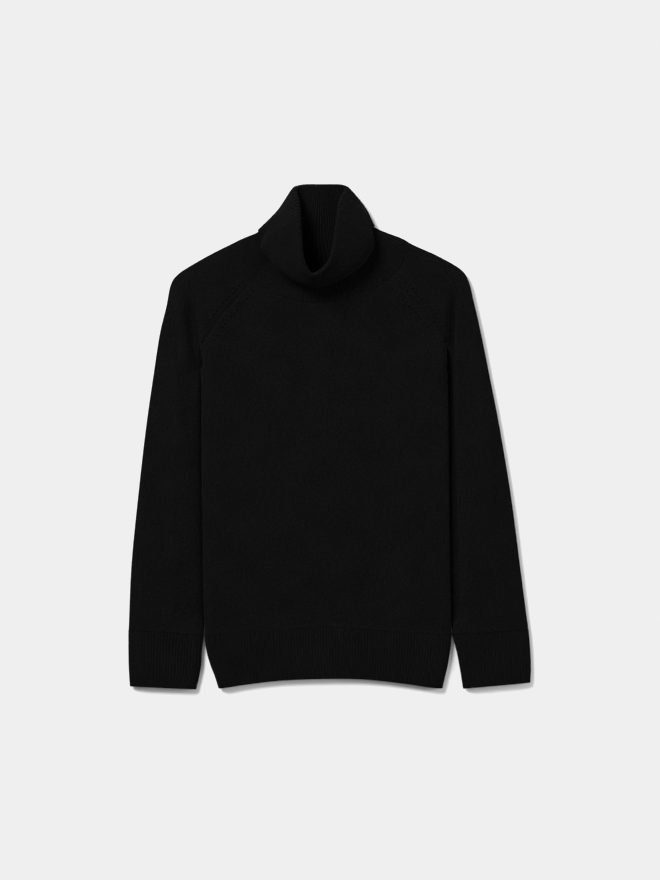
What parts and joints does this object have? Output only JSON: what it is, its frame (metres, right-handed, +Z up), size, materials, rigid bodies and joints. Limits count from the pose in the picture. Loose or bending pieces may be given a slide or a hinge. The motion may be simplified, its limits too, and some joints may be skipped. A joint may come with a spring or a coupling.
{
  "type": "turtleneck sweater",
  "caption": "Long-sleeved raglan turtleneck sweater in fine black knit, laid flat, with a turned-over ribbed collar and ribbed cuffs and hem.",
  "frame": {"origin": "middle of the laid garment's outline, on the surface it rests on", "axes": "+X across the garment to the right as seen from above, +Y from hem to collar, +Z up from the surface, front of the garment up"},
  "size_m": [0.5828, 0.7323, 0.0418],
  "materials": {
    "knit": "matte",
    "rib": "matte"
  },
  "bodies": {
    "root": {"front": "knit", "back": "knit", "sleeve_left": "knit", "sleeve_right": "knit", "hem_rib_front": "rib", "hem_rib_back": "rib", "cuff_left": "rib", "cuff_right": "rib", "collar_stand": "rib", "collar_turnover": "rib"}
  },
  "joints": []
}
